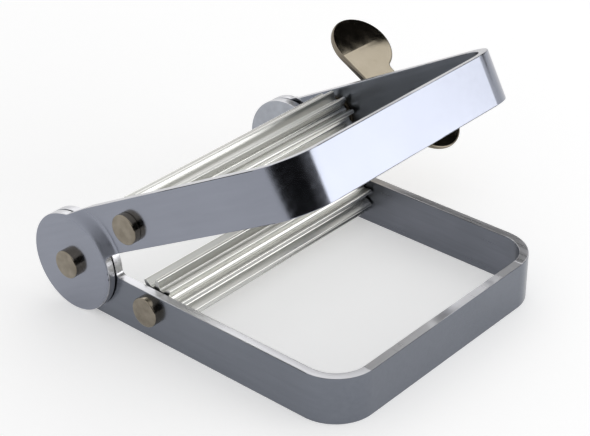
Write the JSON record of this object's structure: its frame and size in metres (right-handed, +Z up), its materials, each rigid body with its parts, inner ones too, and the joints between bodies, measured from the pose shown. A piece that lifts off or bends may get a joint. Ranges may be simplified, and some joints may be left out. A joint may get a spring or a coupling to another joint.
{
  "type": "paper crimper with crank",
  "caption": "Hand paper crimper: hinged U-shaped bar frames carry a pair of fluted rollers, and a wing key turns the upper roller.",
  "frame": {"origin": "bottom centre of the bounding box, on the surface the lower frame lies on", "axes": "+X from the hinge to the closed end of the frames, +Y along the rollers to the key side, +Z up"},
  "size_m": [0.097, 0.1164, 0.064],
  "materials": {
    "frame_steel": "satin blue-grey",
    "roller_aluminium": "bright machined",
    "nickel_pin": "warm nickel plate, turned",
    "washer_steel": "plain bright steel",
    "bush_brass": "dark oiled bronze",
    "key_nickel": "bright nickel plate"
  },
  "bodies": {
    "base": {"lower_frame": "frame_steel", "hinge_rivet_near": "nickel_pin", "hinge_rivet_far": "nickel_pin", "hinge_spacer_near": "washer_steel", "hinge_spacer_far": "washer_steel", "hinge_washer_near": "washer_steel", "hinge_washer_far": "washer_steel", "idler_shaft": "nickel_pin", "idler_end_washer": "washer_steel"},
    "upper": {"upper_frame": "frame_steel", "drive_bush_near": "bush_brass", "drive_bush_far": "bush_brass"},
    "drive": {"drive_roller": "roller_aluminium", "drive_shaft": "nickel_pin", "drive_thrust_washer": "washer_steel", "wing_key": "key_nickel", "key_cross_pin": "washer_steel"},
    "idler": {"idler_roller": "roller_aluminium", "idler_bush_near": "bush_brass", "idler_bush_far": "bush_brass"}
  },
  "joints": [
    {"name": "frame_hinge", "type": "hinge", "parent": "base", "child": "upper", "pos_m": [-0.0355, -0.0127, 0.013], "axis": [0, -1, 0], "range_deg": [-23.5, 151]},
    {"name": "drive_spin", "type": "hinge", "parent": "upper", "child": "drive", "pos_m": [-0.01693, -0.0127, 0.02901], "axis": [0, 1, 0], "continuous": true},
    {"name": "idler_spin", "type": "hinge", "parent": "base", "child": "idler", "pos_m": [-0.0115, -0.0127, 0.008], "axis": [0, 1, 0], "continuous": true}
  ],
  "couplings": [
    {"joint": "idler_spin", "follows": "drive_spin", "ratio": -1}
  ]
}
